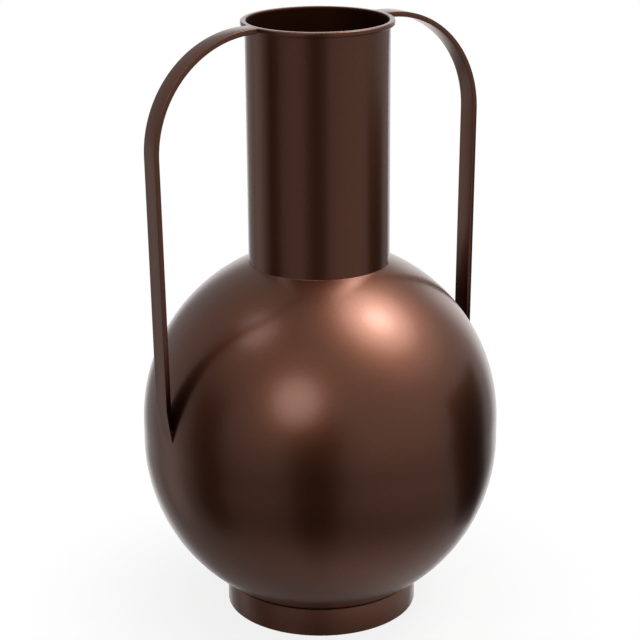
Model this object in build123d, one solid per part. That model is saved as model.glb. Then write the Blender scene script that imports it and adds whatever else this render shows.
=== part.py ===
from build123d import *

import os
from math import acos, atan2, cos, degrees, sin, sqrt

# Urn vase in lacquered sheet iron, welded up from six pieces: two spun body halves,
# a rolled neck with a curled rim, a foot ring and two handles bent from flat bar.
# +Z is up, the handles lie along X, and the origin is the centre of the foot's underside.

# Sheet and fits
sheet = 1.0               # wall of the spun and rolled sheet pieces
slip_gap = 0.1            # between a turned edge and the wall that slides over it

# Body: two domes, each with a short straight skirt, that meet at the equator
body_radius = 105.0       # outside of both domes and skirts
skirt_height = 6.0        # straight edge of each half
lip_clear = 1.0           # lower half's lip, inside the upper skirt, below the dome's curve
lip_step = 1.5            # height over which that lip steps inwards
base_flat_radius = 25.0   # flat at the bottom pole of the lower half
base_lift = 4.0           # that flat above the surface the vase stands on

# Neck
neck_radius = 41.0        # outside of the tube
neck_length = 140.5       # from the shoulder line to the top of the rim
collar_height = 4.0       # turned-up edge of the shoulder hole, inside the neck
rim_flat = 1.0            # rolled rim, flat across its top
rim_side = 0.5            # and flat down its outside
curl_bend = 0.25          # inside of each bend of the roll, in section
curl_gap = 0.15           # between the end of the roll and the tube

# Foot
foot_radius = 57.0        # outside of the ring
foot_wall = 1.5
foot_edge = 0.3           # broken edges of the standing face

# Handles
bar_width = 12.0
bar_thickness = 3.0
bar_edge = 0.6            # rounded long edges of the bar
body_clear = 2.0          # inside of the bar, at the bend, past the widest part of the body
level_run = 2.5           # straight bar between the rim and the bend
rim_drop = 0.1            # top face of the bar below the top of the rim
rim_lap = 0.5             # coped upper end, over the side of the rolled rim
weld_gap = 0.05           # between that end and the rim
bar_end_rise = 8.0        # lower end of the bar above the straight skirts
seat_depth = 0.3          # lower end, ground to the curve of the body
feather_length = 26.0     # lower end, thinned from outside until it runs into the body
feather_bow = 0.4         # how far that thinning bows out from straight
feather_edge = 0.5        # thickness left at the very end

# Levels and radii that follow from the sizes above
inner_radius = body_radius - sheet
neck_bore = neck_radius - sheet
collar_radius = neck_bore - slip_gap
lip_radius = inner_radius - slip_gap
foot_bore = foot_radius - foot_wall
curl_corner = curl_bend + sheet
rim_width = 2 * curl_corner + rim_flat
rim_height = 2 * curl_corner + rim_side
rim_radius = neck_bore + rim_width
bend_radius = body_radius + body_clear - rim_radius - level_run


def dome_rise(radius, dome_radius=body_radius):
    # height of a dome's surface above its own centre, at a radius from the axis
    return sqrt(dome_radius**2 - radius**2)


def dome_angle(radius, dome_radius=body_radius):
    # the same point of the dome, as an angle above its widest circle
    return degrees(acos(radius / dome_radius))


lower_center = base_lift + dome_rise(base_flat_radius)
seam = lower_center + skirt_height
upper_center = seam + skirt_height
shoulder = upper_center + dome_rise(neck_radius)
rim_top = shoulder + neck_length
rim_foot = rim_top - rim_height


def turned(outline):
    # a closed outline of radius and height, turned about the vertical axis
    return revolve(Plane.XZ * make_face(outline), Axis.Z)


def lower_body():
    flat_inside = base_lift + sheet
    inside_flat_radius = sqrt(inner_radius**2 - (lower_center - flat_inside) ** 2)
    flat_angle = dome_angle(base_flat_radius)
    inside_angle = dome_angle(inside_flat_radius, inner_radius)
    lip_top = upper_center - lip_clear
    outside = CenterArc((0, lower_center), body_radius, -flat_angle, flat_angle)
    inside = CenterArc((0, lower_center), inner_radius, 0, -inside_angle)
    lip = Polyline(
        outside @ 1,
        (body_radius, seam),
        (lip_radius, seam),
        (lip_radius, lip_top),
        (lip_radius - sheet, lip_top),
        (lip_radius - sheet, seam - sheet),
        (inner_radius, seam - sheet - lip_step),
        inside @ 0,
    )
    floor = Polyline(inside @ 1, (0, flat_inside), (0, base_lift), outside @ 0)
    return turned(outside + lip + inside + floor)


def upper_body():
    collar_inside = collar_radius - sheet
    collar_top = upper_center + dome_rise(collar_radius) + collar_height
    outside = CenterArc((0, upper_center), body_radius, 0, dome_angle(collar_radius))
    inside_angle = dome_angle(collar_inside, inner_radius)
    inside = CenterArc((0, upper_center), inner_radius, inside_angle, -inside_angle)
    collar = Polyline(
        outside @ 1,
        (collar_radius, collar_top),
        (collar_inside, collar_top),
        inside @ 0,
    )
    skirt = Polyline(inside @ 1, (inner_radius, seam), (body_radius, seam), outside @ 0)
    return turned(outside + collar + inside + skirt)


def neck_tube():
    # The lower edge is ground to the shoulder. The rim is rolled outwards, flat on top
    # and outside, until its end all but meets the tube again.
    roll_end = neck_radius + curl_gap
    outer_angle = dome_angle(neck_radius)
    edge = CenterArc(
        (0, upper_center), body_radius, outer_angle, dome_angle(neck_bore) - outer_angle
    )
    outside = FilletPolyline(
        edge @ 1,
        (neck_bore, rim_top),
        (rim_radius, rim_top),
        (rim_radius, rim_foot),
        (roll_end, rim_foot),
        radius=curl_corner,
    )
    inside = FilletPolyline(
        (roll_end, rim_foot + sheet),
        (rim_radius - sheet, rim_foot + sheet),
        (rim_radius - sheet, rim_top - sheet),
        (neck_radius, rim_top - sheet),
        edge @ 0,
        radius=curl_bend,
    )
    return turned(edge + outside + Line(outside @ 1, inside @ 0) + inside)


def foot_ring():
    # The top edge is ground to the curve of the lower dome.
    outer_angle = dome_angle(foot_radius)
    edge = CenterArc(
        (0, lower_center), body_radius, -outer_angle, outer_angle - dome_angle(foot_bore)
    )
    walls = Polyline(edge @ 1, (foot_bore, 0), (foot_radius, 0), edge @ 0)
    ring = turned(edge + walls)
    return fillet(ring.edges().group_by(Axis.Z)[0], foot_edge)


def right_handle():
    # Flat bar, level at the rim, round the bend, then straight down and slightly
    # inwards until its inside runs into the body.
    bar_middle = rim_top - rim_drop - bar_thickness / 2
    bend_middle = bend_radius + bar_thickness / 2
    bend_center = Vector(rim_radius + level_run, bar_middle - bend_middle)
    end_seat = Vector(dome_rise(bar_end_rise) - seat_depth, upper_center + bar_end_rise)
    reach = end_seat - bend_center
    run = sqrt(reach.length**2 - bend_radius**2)
    lean = -atan2(reach.Y, reach.X) - atan2(run, bend_radius)
    outwards = Vector(cos(lean), -sin(lean))
    along = Vector(-sin(lean), -cos(lean))

    def on_run(depth, distance):
        # a point of the straight run, by depth from its inner face and way past the bend
        return bend_center + outwards * (bend_radius + depth) + along * distance

    bend = CenterArc(bend_center, bend_middle, 90, -90 - degrees(lean))
    level = Line((neck_bore + rim_width / 2, bar_middle), bend @ 0)
    straight = Line(bend @ 1, on_run(bar_thickness / 2, run))
    path = Plane.XZ * (level + bend + straight)
    section = Plane(path @ 0, x_dir=Axis.Y.direction, z_dir=path % 0)
    bar = sweep(section * RectangleRounded(bar_width, bar_thickness, bar_edge), path)

    # lower end thinned from outside, then ground to the body
    feather = SagittaArc(
        on_run(bar_thickness + feather_edge, run - feather_length),
        on_run(feather_edge, run),
        feather_bow,
    )
    clear_of_bar = Polyline(
        feather @ 1,
        on_run(feather_edge, run + bar_thickness),
        on_run(2 * bar_thickness, run + bar_thickness),
        feather @ 0,
    )
    waste = make_face(feather + clear_of_bar)
    bar -= extrude(Plane.XZ * waste, bar_width, both=True)
    bar -= Pos(Z=upper_center) * Sphere(body_radius)

    # upper end coped round the rolled rim
    rim_place = Pos(neck_bore + rim_width / 2, rim_top - rim_height / 2)
    rim_cope = RectangleRounded(
        rim_width + 2 * weld_gap, rim_height + 2 * weld_gap, curl_corner + weld_gap
    )
    bar -= revolve(Plane.XZ * rim_place * rim_cope, Axis.Z)
    mouth_height = 2 * (rim_height + bar_thickness)
    return bar - Pos(Z=rim_top) * Cylinder(rim_radius - rim_lap, mouth_height)


handle = right_handle()
pieces = {
    "lower_body": lower_body(),
    "upper_body": upper_body(),
    "neck_tube": neck_tube(),
    "foot_ring": foot_ring(),
    "right_handle": handle,
    "left_handle": mirror(handle, Plane.YZ),
}

os.makedirs("parts", exist_ok=True)
for name, piece in pieces.items():
    export_step(piece, f"parts/{name}.step")
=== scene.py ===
import math

import bmesh
import bpy
from mathutils import Euler, Matrix, Vector, noise


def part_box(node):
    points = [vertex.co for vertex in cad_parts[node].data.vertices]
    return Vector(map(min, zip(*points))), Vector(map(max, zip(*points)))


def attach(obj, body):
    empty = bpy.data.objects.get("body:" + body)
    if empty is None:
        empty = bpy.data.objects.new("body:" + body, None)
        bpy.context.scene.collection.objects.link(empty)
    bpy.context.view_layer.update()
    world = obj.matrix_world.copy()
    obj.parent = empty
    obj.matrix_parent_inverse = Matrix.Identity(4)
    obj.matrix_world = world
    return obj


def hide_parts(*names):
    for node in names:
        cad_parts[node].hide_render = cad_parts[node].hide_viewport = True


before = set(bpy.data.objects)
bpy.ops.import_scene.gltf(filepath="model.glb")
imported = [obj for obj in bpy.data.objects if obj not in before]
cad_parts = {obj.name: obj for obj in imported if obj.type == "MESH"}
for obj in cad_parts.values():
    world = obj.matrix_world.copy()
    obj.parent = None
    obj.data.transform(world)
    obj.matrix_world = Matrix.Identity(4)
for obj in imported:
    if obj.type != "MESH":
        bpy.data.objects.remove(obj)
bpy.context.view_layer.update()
mm = 0.001                # sizes below are in millimetres, the scene is in metres
touching = 0.001 * mm     # points closer than this are one point
quarterTurn = math.pi / 2
fullTurn = 2 * math.pi
print("stage: frame loaded,", len(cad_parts), "nodes")

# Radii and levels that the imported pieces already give, in metres
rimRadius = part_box("neck_tube")[1].x
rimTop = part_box("neck_tube")[1].z
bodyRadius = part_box("upper_body")[1].x
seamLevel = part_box("upper_body")[0].z
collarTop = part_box("upper_body")[1].z
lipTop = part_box("lower_body")[1].z
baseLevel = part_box("lower_body")[0].z
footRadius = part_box("foot_ring")[1].x
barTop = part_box("right_handle")[1].z
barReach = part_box("right_handle")[1].x
barWidth = 2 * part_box("right_handle")[1].y

sheetWall = 1.0 * mm      # spun and rolled sheet
slipGap = 0.1 * mm        # between a turned edge and the wall over it
skirtHeight = 6.0 * mm    # straight edge of each body half
lowerCentre = seamLevel - skirtHeight
upperCentre = seamLevel + skirtHeight
innerRadius = bodyRadius - sheetWall


def hexColour(code):  # sRGB hex to the linear values that shader sockets take
    parts = [int(code[i:i + 2], 16) / 255 for i in (1, 3, 5)]
    return [*(c / 12.92 if c <= 0.04045 else ((c + 0.055) / 1.055) ** 2.4 for c in parts), 1.0]


def addNode(tree, kind, values={}, links={}, **settings):
    node = tree.nodes.new(kind)
    for name, value in settings.items():
        setattr(node, name, value)
    for socket, value in values.items():
        node.inputs[socket].default_value = value
    for socket, source in links.items():
        tree.links.new(source, node.inputs[socket])
    return node


def newMaterial(name):
    material = bpy.data.materials.new(name)
    material.use_nodes = True
    material.node_tree.nodes.clear()
    return material, material.node_tree


def placeMesh(name, bm, *materials):
    mesh = bpy.data.meshes.new(name)
    bm.to_mesh(mesh)
    bm.free()
    for material in materials:
        mesh.materials.append(material)
    placed = bpy.data.objects.new(name, mesh)
    bpy.context.scene.collection.objects.link(placed)
    return placed


# Materials

firstColour, secondColour, mixedColour = 6, 7, 2   # sockets of a Mix node that mixes colours

lacquer = {
    "colour": "#89543c",
    "colourThick": "#814e38",     # where the spray lay thicker
    "paintedShadeColour": "#371a0e",      # painted shade: inside the vase, where the spray is also thin, and in corners between parts
    "cloudSize": 60 * mm,         # patches of thicker and thinner spray
    "cloudDetail": 3.0,
    "roughness": (0.35, 0.41),
    "coatRoughness": 0.2,
    "flakeSize": 0.6 * mm,        # real flake is near 0.05 mm, drawn coarser so that it shows
    "flakeShade": (0.92, 1.08),
    "peelSize": 2.4 * mm,         # orange peel, the faint dimples of a sprayed film
    "peelDepth": 0.02 * mm,
    "peelDetail": 1.0,
}


def makeLacquer():
    # Bronze-brown lacquer with metal flake, sprayed on iron and clear coated: a satin reflection
    # in the colour of the flake, under a thin whitish gloss. Where a piece's attribute holds
    # painted shade, in corners and between parts, the film is painted dark and has no coat.
    material, tree = newMaterial("brown lacquer, sprayed satin")
    place = addNode(tree, "ShaderNodeTexCoord").outputs["Object"]
    clouds = addNode(tree, "ShaderNodeTexNoise", {
        "Scale": 1 / lacquer["cloudSize"],
        "Detail": lacquer["cloudDetail"],
    }, {"Vector": place}).outputs["Fac"]
    clouded = addNode(tree, "ShaderNodeMix", {
        firstColour: hexColour(lacquer["colour"]),
        secondColour: hexColour(lacquer["colourThick"]),
    }, {0: clouds}, data_type="RGBA").outputs[mixedColour]
    # painted shade mask: 1 where shade is painted into the film
    shaded = addNode(tree, "ShaderNodeAttribute", attribute_name="paintedShade").outputs["Fac"]
    film = addNode(tree, "ShaderNodeMix", {
        secondColour: hexColour(lacquer["paintedShadeColour"]),
    }, {0: shaded, firstColour: clouded}, data_type="RGBA").outputs[mixedColour]
    coat = addNode(tree, "ShaderNodeMapRange", {"To Min": 1.0, "To Max": 0.0}, {"Value": shaded})
    flakes = addNode(tree, "ShaderNodeTexVoronoi", {"Scale": 1 / lacquer["flakeSize"]}, {"Vector": place})
    flakeTilt = addNode(tree, "ShaderNodeMapRange", {
        "To Min": lacquer["flakeShade"][0],
        "To Max": lacquer["flakeShade"][1],
    }, {"Value": flakes.outputs["Color"]}).outputs["Result"]
    colour = addNode(tree, "ShaderNodeVectorMath", links={0: film, "Scale": flakeTilt}, operation="SCALE")
    gloss = addNode(tree, "ShaderNodeMapRange", {
        "To Min": lacquer["roughness"][0],
        "To Max": lacquer["roughness"][1],
    }, {"Value": clouds})
    peel = addNode(tree, "ShaderNodeTexNoise", {
        "Scale": 1 / lacquer["peelSize"],
        "Detail": lacquer["peelDetail"],
    }, {"Vector": place})
    dimples = addNode(tree, "ShaderNodeBump", {
        "Strength": 1.0,
        "Distance": lacquer["peelDepth"],
    }, {"Height": peel.outputs["Fac"]}).outputs["Normal"]
    shader = addNode(tree, "ShaderNodeBsdfPrincipled", {
        "Metallic": 1.0,
        "Coat Roughness": lacquer["coatRoughness"],
    }, {
        "Coat Weight": coat.outputs["Result"],
        "Base Color": colour.outputs["Vector"],
        "Roughness": gloss.outputs["Result"],
        "Normal": dimples,
        "Coat Normal": dimples,
    })
    addNode(tree, "ShaderNodeOutputMaterial", links={"Surface": shader.outputs["BSDF"]})
    return material


# Inside the vase: rougher, thinner spray, in colours darkened as painted shade
shadedOverspray = {
    "colourThick": "#452415",
    "cloudDetail": 5.0,
    "roughness": (0.5, 0.65),
}


def makeShadedOverspray():
    # The same lacquer inside the vase, thin and uncoated, in colours darkened as painted shade for the shade
    # inside
    material, tree = newMaterial("brown lacquer, thin overspray")
    place = addNode(tree, "ShaderNodeTexCoord").outputs["Object"]
    clouds = addNode(tree, "ShaderNodeTexNoise", {
        "Scale": 1 / lacquer["cloudSize"],
        "Detail": shadedOverspray["cloudDetail"],
    }, {"Vector": place}).outputs["Fac"]
    gloss = addNode(tree, "ShaderNodeMapRange", {
        "To Min": shadedOverspray["roughness"][0],
        "To Max": shadedOverspray["roughness"][1],
    }, {"Value": clouds})
    colour = addNode(tree, "ShaderNodeMix", {
        firstColour: hexColour(lacquer["paintedShadeColour"]),
        secondColour: hexColour(shadedOverspray["colourThick"]),
    }, {0: clouds}, data_type="RGBA")
    shader = addNode(tree, "ShaderNodeBsdfPrincipled", {"Metallic": 1.0}, {
        "Base Color": colour.outputs[mixedColour],
        "Roughness": gloss.outputs["Result"],
    })
    addNode(tree, "ShaderNodeOutputMaterial", links={"Surface": shader.outputs["BSDF"]})
    return material


lacquerMaterial = makeLacquer()
shadedOversprayMaterial = makeShadedOverspray()
print("stage: materials made")


# Turned pieces: a profile drawn with a pen in the plane of radius and height, then spun

turnSteps = 192                # flats round a full turn
sharpFrom = math.radians(35)   # edges that bend more than this stay sharp


def penDown(radius, level):
    bm = bmesh.new()
    return bm, bm.verts.new((radius, 0, level))


def lineTo(bm, tip, radius, level):
    tip = bmesh.ops.extrude_vert_indiv(bm, verts=[tip])["verts"][0]
    tip.co = (radius, 0, level)
    return tip


def arcTo(bm, tip, centre, sweep, steps):  # sweep is anticlockwise, with radius to the right
    made = bmesh.ops.spin(bm, geom=[tip], cent=(centre[0], 0, centre[1]), axis=(0, -1, 0),
                          angle=sweep, steps=steps)
    return next(item for item in made["geom_last"] if isinstance(item, bmesh.types.BMVert))


def spinProfile(bm):
    bmesh.ops.spin(bm, geom=bm.verts[:] + bm.edges[:], cent=(0, 0, 0), axis=(0, 0, 1),
                   angle=fullTurn, steps=turnSteps, use_merge=True)


def finishPiece(name, bm, node, isInside=None, paintedShadeAt=None):
    bmesh.ops.remove_doubles(bm, verts=bm.verts, dist=touching)
    if paintedShadeAt:
        # share of painted shade at each vertex
        paintedShade = bm.verts.layers.float.new("paintedShade")
        for vert in bm.verts:
            vert[paintedShade] = paintedShadeAt(vert.co)
    bmesh.ops.recalc_face_normals(bm, faces=bm.faces)
    for edge in bm.edges:
        edge.smooth = edge.calc_face_angle(0) < sharpFrom
    for face in bm.faces:
        face.smooth = True
        face.material_index = 1 if isInside and isInside(face.calc_center_median()) else 0
    piece = placeMesh(name, bm, lacquerMaterial, shadedOversprayMaterial)
    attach(piece, "root")
    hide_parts(node)
    print("stage:", name, "made,", len(piece.data.polygons), "faces")


def domeRise(radius, domeRadius=bodyRadius):  # from the dome's centre to its surface, at this radius
    return math.sqrt(domeRadius**2 - radius**2)


neck = {
    "rimFlat": 1.0 * mm,      # rolled rim, flat across its top
    "rimSide": 0.5 * mm,      # and flat down its outside
    "curlBend": 0.25 * mm,    # inside of each bend of the roll, in section
    "rimCorner": 0.75 * mm,   # outer corners of the roll, pressed sharper than its bends
    "curlGap": 0.15 * mm,     # between the end of the roll and the tube
    "rootFillet": 0.35 * mm,  # lacquer that has run into the corner at the shoulder
    "rootUneven": 0.5,        # by this share
    "rootRun": 3.5 * mm,      # length of one run
    "bendSteps": 10,
    "filletSteps": 8,
    "groundSteps": 4,         # lower edge, ground to the shoulder
}
curlCorner = neck["curlBend"] + sheetWall
neckBore = rimRadius - 2 * curlCorner - neck["rimFlat"]
neckRadius = neckBore + sheetWall
rimFoot = rimTop - 2 * curlCorner - neck["rimSide"]


def makeNeck():
    fillet = neck["rootFillet"]
    corner = neck["rimCorner"]
    steps = neck["bendSteps"]
    innerBend = (neckBore + curlCorner, rimTop - curlCorner)
    outerBend = (rimRadius - curlCorner, rimTop - curlCorner)
    lowerBend = (rimRadius - curlCorner, rimFoot + curlCorner)
    topCorner = (rimRadius - corner, rimTop - corner)
    lowCorner = (rimRadius - corner, rimFoot + corner)
    rollEnd = neckRadius + neck["curlGap"]
    filletRise = domeRise(neckRadius + fillet, bodyRadius + fillet)
    filletCentre = (neckRadius + fillet, upperCentre + filletRise)
    filletSweep = math.acos((neckRadius + fillet) / (bodyRadius + fillet))
    groundSweep = math.acos(neckBore / bodyRadius) - filletSweep

    bm, tip = penDown(neckBore, upperCentre + domeRise(neckBore))
    tip = lineTo(bm, tip, neckBore, innerBend[1])
    tip = arcTo(bm, tip, innerBend, -quarterTurn, steps)
    tip = lineTo(bm, tip, topCorner[0], rimTop)
    tip = arcTo(bm, tip, topCorner, -quarterTurn, steps)
    tip = lineTo(bm, tip, rimRadius, lowCorner[1])
    tip = arcTo(bm, tip, lowCorner, -quarterTurn, steps)
    tip = lineTo(bm, tip, rollEnd, rimFoot)
    tip = lineTo(bm, tip, rollEnd, rimFoot + sheetWall)
    tip = lineTo(bm, tip, lowerBend[0], rimFoot + sheetWall)
    tip = arcTo(bm, tip, lowerBend, quarterTurn, steps)
    tip = lineTo(bm, tip, rimRadius - sheetWall, outerBend[1])
    tip = arcTo(bm, tip, outerBend, quarterTurn, steps)
    tip = lineTo(bm, tip, innerBend[0], rimTop - sheetWall)
    tip = arcTo(bm, tip, innerBend, quarterTurn, steps)
    tip = lineTo(bm, tip, neckRadius, filletCentre[1])
    tip = arcTo(bm, tip, filletCentre, filletSweep, neck["filletSteps"])
    arcTo(bm, tip, (0, upperCentre), groundSweep, neck["groundSteps"])
    spinProfile(bm)

    cornerLevel = upperCentre + domeRise(neckRadius)
    for vert in bm.verts:  # the fillet is wider in some places than in others
        out = vert.co.xy.length - neckRadius
        if vert.co.z < filletCentre[1] + touching and out > -touching:
            grow = 1 + neck["rootUneven"] * noise.noise(vert.co * Vector((1, 1, 0)) / neck["rootRun"])
            vert.co.xy *= (neckRadius + out * grow) / (neckRadius + out)
            vert.co.z = cornerLevel + (vert.co.z - cornerLevel) * grow

    def isInside(point):
        return point.xy.length < neckBore + sheetWall / 2 and point.z < rimTop - touching

    finishPiece("neckTube", bm, "neck_tube", isInside)


body = {
    "lipStep": 1.5 * mm,     # height over which the lower half's lip steps inwards
    "cornerShadeReach": 5 * mm,   # painted shade in the corner with the foot, out to this distance,
    "cornerShade": 0.5,       # at this share at the corner
    "domeSteps": 56,
}


def makeUpperBody():
    collarRadius = neckBore - slipGap
    collarInside = collarRadius - sheetWall
    insideSweep = math.acos(collarInside / innerRadius)
    bm, tip = penDown(bodyRadius, seamLevel)
    tip = lineTo(bm, tip, bodyRadius, upperCentre)
    tip = arcTo(bm, tip, (0, upperCentre), math.acos(collarRadius / bodyRadius), body["domeSteps"])
    tip = lineTo(bm, tip, collarRadius, collarTop)
    tip = lineTo(bm, tip, collarInside, collarTop)
    tip = lineTo(bm, tip, collarInside, upperCentre + domeRise(collarInside, innerRadius))
    tip = arcTo(bm, tip, (0, upperCentre), -insideSweep, body["domeSteps"])
    tip = lineTo(bm, tip, innerRadius, seamLevel)
    lineTo(bm, tip, bodyRadius, seamLevel)
    spinProfile(bm)
    centre = Vector((0, 0, upperCentre))

    def isInside(point):
        return (point - centre).length < bodyRadius - sheetWall / 2

    finishPiece("upperBody", bm, "upper_body", isInside)


def makeLowerBody():
    floorInside = baseLevel + sheetWall
    flatAngle = math.asin((lowerCentre - baseLevel) / bodyRadius)
    insideAngle = math.asin((lowerCentre - floorInside) / innerRadius)
    lipRadius = innerRadius - slipGap
    lipInside = lipRadius - sheetWall
    bm, tip = penDown(0, baseLevel)
    tip = lineTo(bm, tip, bodyRadius * math.cos(flatAngle), baseLevel)
    tip = arcTo(bm, tip, (0, lowerCentre), flatAngle, body["domeSteps"])
    tip = lineTo(bm, tip, bodyRadius, seamLevel)
    tip = lineTo(bm, tip, lipRadius, seamLevel)
    tip = lineTo(bm, tip, lipRadius, lipTop)
    tip = lineTo(bm, tip, lipInside, lipTop)
    tip = lineTo(bm, tip, lipInside, seamLevel - sheetWall)
    tip = lineTo(bm, tip, innerRadius, seamLevel - sheetWall - body["lipStep"])
    tip = lineTo(bm, tip, innerRadius, lowerCentre)
    tip = arcTo(bm, tip, (0, lowerCentre), -insideAngle, body["domeSteps"])
    lineTo(bm, tip, 0, floorInside)
    spinProfile(bm)
    centre = Vector((0, 0, lowerCentre))

    def isInside(point):
        aboveFloor = point.z > baseLevel + sheetWall / 2
        return aboveFloor and (point - centre).length < bodyRadius - sheetWall / 2

    def paintedShadeAt(point):  # painted shade, towards the corner with the foot
        away = (point.xy.length - footRadius) / body["cornerShadeReach"]
        return body["cornerShade"] * min(1, max(0, 1 - away))

    finishPiece("lowerBody", bm, "lower_body", isInside, paintedShadeAt)


foot = {
    "wall": 1.5 * mm,
    "edgeRound": 0.3 * mm,    # broken edges of the standing face
    "cornerShadeDepth": 0.6 * mm,  # painted shade on the foot, this deep below the corner with the body,
    "cornerShadeFade": 0.6 * mm,   # and from there fading out over this height
    "edgeSteps": 3,
    "topSteps": 2,
}


def makeFoot():
    bore = footRadius - foot["wall"]
    footTop = lowerCentre - domeRise(footRadius)
    topSweep = math.acos(footRadius / bodyRadius) - math.acos(bore / bodyRadius)
    shadedFrom = footTop - foot["cornerShadeDepth"]
    bm, tip = penDown(bore, 0)
    tip = lineTo(bm, tip, footRadius, 0)
    tip = lineTo(bm, tip, footRadius, shadedFrom - foot["cornerShadeFade"])
    tip = lineTo(bm, tip, footRadius, shadedFrom)
    tip = lineTo(bm, tip, footRadius, footTop)
    tip = arcTo(bm, tip, (0, lowerCentre), topSweep, foot["topSteps"])
    lineTo(bm, tip, bore, 0)
    spinProfile(bm)
    bmesh.ops.remove_doubles(bm, verts=bm.verts, dist=touching)

    def isStanding(edge):  # round an edge of the standing face
        first, second = (vert.co for vert in edge.verts)
        isRound = abs(first.xy.length - second.xy.length) < touching
        return isRound and max(first.z, second.z) < touching

    # painted shade on the top of the foot, by the corner with the body
    def paintedShadeAt(point):
        return 1 if point.z > shadedFrom - foot["cornerShadeFade"] / 2 else 0

    standing = [edge for edge in bm.edges if isStanding(edge)]
    bmesh.ops.bevel(bm, geom=standing, offset=foot["edgeRound"], offset_type="OFFSET",
                    segments=foot["edgeSteps"], profile=0.5, affect="EDGES", material=-1)
    finishPiece("footRing", bm, "foot_ring", paintedShadeAt=paintedShadeAt)


handle = {
    "thickness": 3.0 * mm,
    "edgeRound": 0.25 * mm,      # long edges of the bar
    "levelRun": 2.5 * mm,        # straight bar between the rim and the bend
    "weldRise": 0.09 * mm,       # weld ground level with the rim's top
    "weldRound": 1.6 * mm,       # lower corner of the upper end, rounded by its weld
    "weldLength": 2.4 * mm,      # and over this length
    "endRise": 8.0 * mm,         # lower end above the straight skirts
    "seatDepth": 0.3 * mm,       # lower end, let into the curve of the body
    "weldFill": 1.4 * mm,        # gap behind the lower end that its weld has closed
    "featherLength": 26.0 * mm,  # lower end, thinned until it runs into the body
    "featherBow": 0.4 * mm,      # how far that thinning bows out from straight
    "featherEdge": 0.5 * mm,     # thickness left at the very end
    "innerShade": (215 * mm, 175 * mm),  # levels between which painted shade comes in on the inner face,
    "sideShade": (185 * mm, 150 * mm),   # and on the sides, towards the corner with the body
    "endUnshaded": 6,               # the last sixth of the thinned end has no painted shade
    "edgeSteps": 4,
    "weldSteps": 6,
    "bendSteps": 72,
    "straightSteps": 40,
    "featherSteps": 26,
}


def makeHandle(name, node, side):
    # Built on the right, along X, and mirrored for the left
    thickness = handle["thickness"]
    barMiddle = barTop - thickness / 2
    barStart = rimRadius - curlCorner
    bendStart = rimRadius + handle["levelRun"]
    bendRadius = barReach - thickness - bendStart
    bendCentre = Vector((bendStart, 0, barTop - thickness - bendRadius))
    seatRadius = domeRise(handle["endRise"]) - handle["seatDepth"]
    reach = Vector((seatRadius, 0, upperCentre + handle["endRise"])) - bendCentre
    run = math.sqrt(reach.length**2 - bendRadius**2)
    lean = -math.atan2(reach.z, reach.x) - math.atan2(run, bendRadius)
    along = Vector((-math.sin(lean), 0, -math.cos(lean)))
    outwards = Vector((math.cos(lean), 0, -math.sin(lean)))
    innerFace = bendCentre + outwards * bendRadius

    bm = bmesh.new()
    section = Matrix(((0, 0, 1, barStart),
                      (barWidth, 0, 0, 0),
                      (0, thickness, 0, barMiddle),
                      (0, 0, 0, 1)))
    bmesh.ops.create_grid(bm, x_segments=1, y_segments=1, size=0.5, matrix=section)
    bmesh.ops.bevel(bm, geom=bm.verts[:], offset=handle["edgeRound"], offset_type="OFFSET",
                    segments=handle["edgeSteps"], profile=0.5, affect="VERTICES", material=-1)

    def grow(end, move, steps=1):
        for step in range(steps):
            made = bmesh.ops.extrude_face_region(bm, geom=end)["geom"]
            moved = [item for item in made if isinstance(item, bmesh.types.BMVert)]
            bmesh.ops.translate(bm, vec=move, verts=moved)
            end = [item for item in made if isinstance(item, bmesh.types.BMFace)]
        return end

    straight = run - handle["featherLength"]
    end = grow(bm.faces[:], Vector((handle["weldLength"] / handle["weldSteps"], 0, 0)), handle["weldSteps"])
    end = grow(end, Vector((bendStart - barStart - handle["weldLength"], 0, 0)))
    bent = bmesh.ops.spin(bm, geom=end, cent=bendCentre, axis=(0, 1, 0), angle=quarterTurn + lean,
                          steps=handle["bendSteps"])
    end = [item for item in bent["geom_last"] if isinstance(item, bmesh.types.BMFace)]
    end = grow(end, along * (straight / handle["straightSteps"]), handle["straightSteps"])
    grow(end, along * (handle["featherLength"] / handle["featherSteps"]), handle["featherSteps"])

    domeCentre = Vector((0, 0, upperCentre))
    paintedShade = bm.verts.layers.float.new("paintedShade")
    for vert in bm.verts:
        depth = (vert.co - innerFace).dot(outwards)
        # painted shade on the inner face and sides, growing downwards towards the body
        if depth < thickness - handle["edgeRound"] / 2:
            isInner = depth < handle["edgeRound"] / 2
            full, shaded = handle["innerShade"] if isInner else handle["sideShade"]
            vert[paintedShade] = min(1, max(0, (full - vert.co.z) / (full - shaded)))
        if vert.co.x < bendStart:  # upper end, as its weld leaves it
            fade = max(0, 1 - (vert.co.x - barStart) / handle["weldLength"])
            up = (vert.co.z - barMiddle) / thickness + 0.5
            vert.co.z += fade * up * handle["weldRise"] + fade**2 * (1 - up) * handle["weldRound"]
            continue
        past = 1 - (run - (vert.co - innerFace).dot(along)) / handle["featherLength"]
        if past > 0:  # lower end, thinned and ground to the curve of the body
            # no painted shade on the last of the lower end, where the weld is
            vert[paintedShade] *= min(1, max(0, (1 - past) * handle["endUnshaded"] - 1))
            bow = 4 * handle["featherBow"] * past * (1 - past)
            kept = thickness + handle["featherEdge"] - past * thickness + bow
            vert.co -= outwards * depth * (1 - min(1, kept / thickness))
            out = vert.co - domeCentre
            if out.length < bodyRadius + handle["weldFill"] and depth < thickness / 2:
                vert.co = domeCentre + out.normalized() * bodyRadius
    if side < 0:
        bmesh.ops.scale(bm, vec=(-1, 1, 1), verts=bm.verts)
    finishPiece(name, bm, node)


makeNeck()
makeUpperBody()
makeLowerBody()
makeFoot()
makeHandle("rightHandle", "right_handle", 1)
makeHandle("leftHandle", "left_handle", -1)


# Camera, at the photograph's viewing angle

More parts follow.
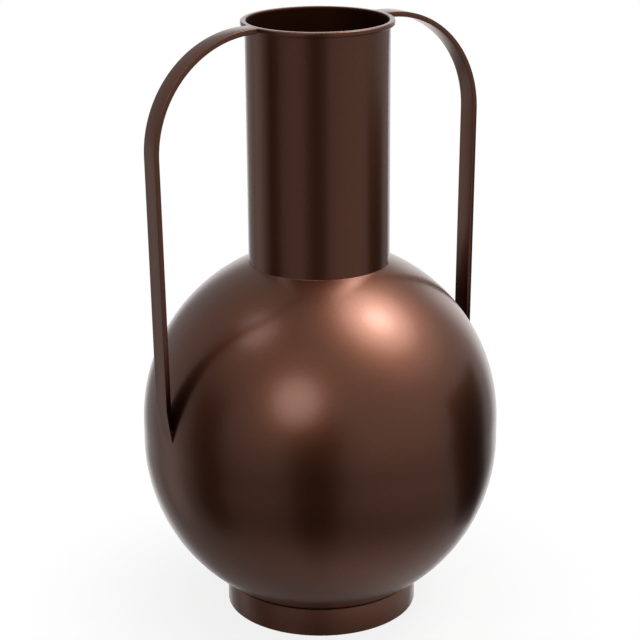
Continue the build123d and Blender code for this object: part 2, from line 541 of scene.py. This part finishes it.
view = {
    "heading": math.radians(33.8),    # turned from +Y towards +X
    "pitch": math.radians(18.76),     # looking down
    "roll": math.radians(-0.38),      # tilted about its own axis
    "aside": 0.00025,                 # metres to the right of the vase's axis
    "distance": 1.0892,               # metres, level with the floor
    "height": 0.5473,
    "lens": 110.05,                   # millimetres
    "sensor": 36,                     # millimetres
}
awayFromCamera = Vector((math.sin(view["heading"]), math.cos(view["heading"]), 0))
rightOfCamera = Vector((math.cos(view["heading"]), -math.sin(view["heading"]), 0))


def makeCamera():
    data = bpy.data.cameras.new("camera")
    data.lens = view["lens"]
    data.sensor_width = view["sensor"]
    camera = bpy.data.objects.new("camera", data)
    camera.location = -awayFromCamera * view["distance"] + rightOfCamera * view["aside"]
    camera.location.z = view["height"]
    level = Euler((quarterTurn - view["pitch"], 0, -view["heading"])).to_matrix()
    camera.rotation_euler = (level @ Matrix.Rotation(view["roll"], 3, "Z")).to_euler()
    bpy.context.scene.collection.objects.link(camera)
    bpy.context.scene.camera = camera


# Studio: paper floor, a black card, grey room and white backdrop in the world, and the lamps.
# Turns are from straight away from the camera, towards its right; all angles are in degrees.

white = (1, 1, 1, 1)


def turned(turn):
    turn = math.radians(turn)
    return awayFromCamera * math.cos(turn) + rightOfCamera * math.sin(turn)


floorPaper = {
    "colour": "#f4f2f0",
    "radius": 0.2,         # metres
    "cover": 0.16,         # of the white background, at the foot, as the camera sees it
    "coverMirrored": 0.5,  # and as the metal does
    "coverTo": 0.055,      # from this radius it thins out into that background
    "sides": 128,
}


def makeFloor():
    # Matt white paper, blown out to white in the camera except for the shadow on it
    material, tree = newMaterial("white paper, matt")
    place = addNode(tree, "ShaderNodeTexCoord").outputs["Object"]
    away = addNode(tree, "ShaderNodeVectorMath", links={0: place}, operation="LENGTH")
    path = addNode(tree, "ShaderNodeLightPath")
    clear = addNode(tree, "ShaderNodeMapRange", {
        "To Min": 1 - floorPaper["cover"],
        "To Max": 1 - floorPaper["coverMirrored"],
    }, {"Value": path.outputs["Is Glossy Ray"]})
    fade = addNode(tree, "ShaderNodeMapRange", {
        "From Min": floorPaper["coverTo"],
        "From Max": floorPaper["radius"],
        "To Max": 1.0,
    }, {
        "Value": away.outputs["Value"],
        "To Min": clear.outputs["Result"],
    }, interpolation_type="SMOOTHSTEP")
    paper = addNode(tree, "ShaderNodeBsdfDiffuse", {"Color": hexColour(floorPaper["colour"])})
    nothing = addNode(tree, "ShaderNodeBsdfTransparent")
    mixed = addNode(tree, "ShaderNodeMixShader", links={
        0: fade.outputs["Result"],
        1: paper.outputs["BSDF"],
        2: nothing.outputs["BSDF"],
    })
    addNode(tree, "ShaderNodeOutputMaterial", links={"Surface": mixed.outputs["Shader"]})
    bm = bmesh.new()
    bmesh.ops.create_circle(bm, cap_ends=True, segments=floorPaper["sides"], radius=floorPaper["radius"])
    floor = placeMesh("floor", bm, material)


blackCard = {
    "colour": "#0a0a0a",
    "aside": 0.05,      # metres, its centre to the right of the vase's axis
    "near": 0.095,      # metres from its centre
    "far": 0.45,
    "height": 0.2,      # bent up at its far end
    "below": 2 * mm,    # under the paper
    "turn": 79,
    "halfTurn": 20,     # to each side
    "steps": 24,
}


def makeBlackCard():
    # Matt black card beside the vase, of which only the reflection is in view
    material, tree = newMaterial("black card, matt")
    black = addNode(tree, "ShaderNodeBsdfDiffuse", {"Color": hexColour(blackCard["colour"])})
    addNode(tree, "ShaderNodeOutputMaterial", links={"Surface": black.outputs["BSDF"]})
    bm, tip = penDown(blackCard["near"], -blackCard["below"])
    tip = lineTo(bm, tip, blackCard["far"], -blackCard["below"])
    lineTo(bm, tip, blackCard["far"], blackCard["height"])
    start = quarterTurn - view["heading"] - math.radians(blackCard["turn"] + blackCard["halfTurn"])
    bmesh.ops.rotate(bm, matrix=Matrix.Rotation(start, 3, "Z"), verts=bm.verts)
    bmesh.ops.spin(bm, geom=bm.verts[:] + bm.edges[:], cent=(0, 0, 0), axis=(0, 0, 1),
                   angle=math.radians(2 * blackCard["halfTurn"]), steps=blackCard["steps"])
    bmesh.ops.translate(bm, vec=rightOfCamera * blackCard["aside"], verts=bm.verts)
    card = placeMesh("blackCard", bm, material)
    card.visible_camera = False


room = {
    "greyLow": 0.115,            # walls, low down
    "greyHigh": 0.315,           # and high up
    "greyRise": (-0.75, 0.18),   # rise, as a sine, over which they brighten
    "rightLift": 0.189,          # walls brighter on the right, and darker on the left, by this share
    "groundGrey": 0.13,
    "edges": {                   # rise, as a sine, from full to gone
        "top": (0.16, 0.51),
        "greyTop": (-0.22, 0.03),
        "foot": (-0.505, -0.733),
        "lowFoot": (-0.6, -0.8),
    },
    "cards": (                   # grey and black: turn, full within, gone by, grey, edges
        (-69, 5, 14, 0.36, ("top", "greyTop", "foot")),
        (-37, 6, 13, 0.28, ("top", "greyTop", "foot")),
        (-103.8, 6.5, 16, 0, ("top", "lowFoot")),
        (-177, 0.5, 23, 0, ("top",)),
    ),
    "backdrop": (5, 18, 35.5, ("top", "foot")),   # white sweep, the same way
    "lean": 0.3,                 # the sweep leans to the right, sideways per rise,
    "leanLevel": -0.2,           # about this rise, as a sine
}


def makeWorld():
    world = bpy.data.worlds.new("studio")
    world.use_nodes = True
    bpy.context.scene.world = world
    tree = world.node_tree
    tree.nodes.clear()
    direction = addNode(tree, "ShaderNodeTexCoord").outputs["Generated"]
    height = addNode(tree, "ShaderNodeSeparateXYZ", links={0: direction}).outputs["Z"]
    above = addNode(tree, "ShaderNodeMath", {1: room["leanLevel"]}, {0: height}, operation="SUBTRACT")
    leaned = addNode(tree, "ShaderNodeVectorMath", {
        1: -room["lean"] * rightOfCamera,
    }, {0: above.outputs["Value"], 2: direction}, operation="MULTIPLY_ADD")
    compass = []
    for way in (direction, leaned.outputs["Vector"]):  # without its rise
        flat = addNode(tree, "ShaderNodeVectorMath", {1: (1, 1, 0)}, {0: way}, operation="MULTIPLY")
        flat = addNode(tree, "ShaderNodeVectorMath", links={0: flat.outputs["Vector"]}, operation="NORMALIZE")
        compass.append(flat.outputs["Vector"])
    upright, leaning = compass

    edges = {}
    for name, (full, gone) in room["edges"].items():
        fade = addNode(tree, "ShaderNodeMapRange", {"From Min": gone, "From Max": full}, {"Value": height},
                       interpolation_type="SMOOTHSTEP")
        edges[name] = fade.outputs["Result"]

    def cardShape(turn, within, goneBy, edgeNames, way):  # 1 on the card, 0 beside it and past its edges
        facing = addNode(tree, "ShaderNodeVectorMath", {1: turned(turn)}, {0: way}, operation="DOT_PRODUCT")
        shape = addNode(tree, "ShaderNodeMapRange", {
            "From Min": math.cos(math.radians(goneBy)),
            "From Max": math.cos(math.radians(within)),
        }, {"Value": facing.outputs["Value"]}, interpolation_type="SMOOTHSTEP").outputs["Result"]
        for name in edgeNames:
            cut = addNode(tree, "ShaderNodeMath", links={0: shape, 1: edges[name]}, operation="MULTIPLY")
            shape = cut.outputs["Value"]
        return shape

    walls = addNode(tree, "ShaderNodeMapRange", {
        "From Min": room["greyRise"][0],
        "From Max": room["greyRise"][1],
        "To Min": room["greyLow"],
        "To Max": room["greyHigh"],
    }, {"Value": height}, interpolation_type="SMOOTHSTEP")
    rightwards = addNode(tree, "ShaderNodeVectorMath", {1: rightOfCamera}, {0: upright},
                         operation="DOT_PRODUCT")
    lift = addNode(tree, "ShaderNodeMapRange", {
        "From Min": -1.0,
        "To Min": 1 - room["rightLift"],
        "To Max": 1 + room["rightLift"],
    }, {"Value": rightwards.outputs["Value"]})
    lifted = addNode(tree, "ShaderNodeMath", links={
        0: walls.outputs["Result"],
        1: lift.outputs["Result"],
    }, operation="MULTIPLY")
    grey = addNode(tree, "ShaderNodeMapRange", {"To Min": room["groundGrey"]}, {
        "Value": edges["foot"],
        "To Max": lifted.outputs["Value"],
    })
    for turn, within, goneBy, cardGrey, edgeNames in room["cards"]:
        grey = addNode(tree, "ShaderNodeMapRange", {"To Max": cardGrey}, {
            "Value": cardShape(turn, within, goneBy, edgeNames, upright),
            "To Min": grey.outputs["Result"],
        })
    greyRoom = addNode(tree, "ShaderNodeBackground", {"Color": white}, {"Strength": grey.outputs["Result"]})
    whiteSweep = addNode(tree, "ShaderNodeBackground", {"Color": white})

    # The camera sees white all round; metal and glass see it where the sweep stands
    path = addNode(tree, "ShaderNodeLightPath")
    mirrored = addNode(tree, "ShaderNodeMath", links={
        0: path.outputs["Is Glossy Ray"],
        1: path.outputs["Is Transmission Ray"],
    }, operation="MAXIMUM")
    sweep = addNode(tree, "ShaderNodeMath", links={
        0: mirrored.outputs["Value"],
        1: cardShape(*room["backdrop"], leaning),
    }, operation="MULTIPLY")
    isWhite = addNode(tree, "ShaderNodeMath", links={
        0: path.outputs["Is Camera Ray"],
        1: sweep.outputs["Value"],
    }, operation="MAXIMUM")
    mixed = addNode(tree, "ShaderNodeMixShader", links={
        0: isWhite.outputs["Value"],
        1: greyRoom.outputs["Background"],
        2: whiteSweep.outputs["Background"],
    })
    addNode(tree, "ShaderNodeOutputWorld", links={"Surface": mixed.outputs["Shader"]})


lamps = {   # turn, rise, full within, gone by, brightness
    "keySoftbox": (85.5, 52.4, 25.3, 36.7, 0.276),
    "keyCore": (85, 58.9, 1.7, 25, 3.4),
    "keyBulb": (85.8, 59, 4.5, 9.5, 6.4),
    "leftSoftbox": (-95.8, 55.5, 0.7, 14.5, 1.55),
    "frontSoftbox": (-163.5, 28.1, 2, 19, 1.85),
}
lampDistance = 3                 # metres
lampAim = Vector((0, 0, 0.16))   # near the middle of the vase


def makeLamps():
    # Round soft boxes that fade towards their edges
    diskCentre = (0.5, 0.5, 0)   # across a lamp, Parametric runs from 0 to 1
    diskEdge = 0.5**2            # squared, as the distances from that centre are
    for name, (turn, rise, within, goneBy, brightness) in lamps.items():
        toLamp = turned(turn) * math.cos(math.radians(rise))
        toLamp.z = math.sin(math.radians(rise))
        reach = math.tan(math.radians(goneBy))
        fullShare = math.tan(math.radians(within)) / reach
        data = bpy.data.lights.new(name, "AREA")
        data.shape = "DISK"
        data.size = 2 * lampDistance * reach
        data.energy = brightness * math.pi * math.pi * data.size**2 / 4   # radiance times pi times area
        data.use_nodes = True
        tree = data.node_tree
        tree.nodes.clear()
        place = addNode(tree, "ShaderNodeNewGeometry").outputs["Parametric"]
        offset = addNode(tree, "ShaderNodeVectorMath", {1: diskCentre}, {0: place},
                         operation="SUBTRACT").outputs["Vector"]
        away = addNode(tree, "ShaderNodeVectorMath", links={0: offset, 1: offset}, operation="DOT_PRODUCT")
        fall = addNode(tree, "ShaderNodeMapRange", {
            "From Min": fullShare**2 * diskEdge,
            "From Max": diskEdge,
            "To Min": 1.0,
            "To Max": 0.0,
        }, {"Value": away.outputs["Value"]}, interpolation_type="SMOOTHSTEP")
        glow = addNode(tree, "ShaderNodeEmission", {"Color": white},
                       {"Strength": fall.outputs["Result"]})
        addNode(tree, "ShaderNodeOutputLight", links={"Surface": glow.outputs["Emission"]})
        lamp = bpy.data.objects.new(name, data)
        lamp.location = lampAim + toLamp * lampDistance
        lamp.rotation_euler = toLamp.to_track_quat("Z", "Y").to_euler()
        lamp.visible_camera = False
        bpy.context.scene.collection.objects.link(lamp)


makeCamera()
makeFloor()
makeBlackCard()
makeWorld()
makeLamps()
bpy.context.scene.view_settings.view_transform = "Standard"
print("stage: camera, floor and light made")
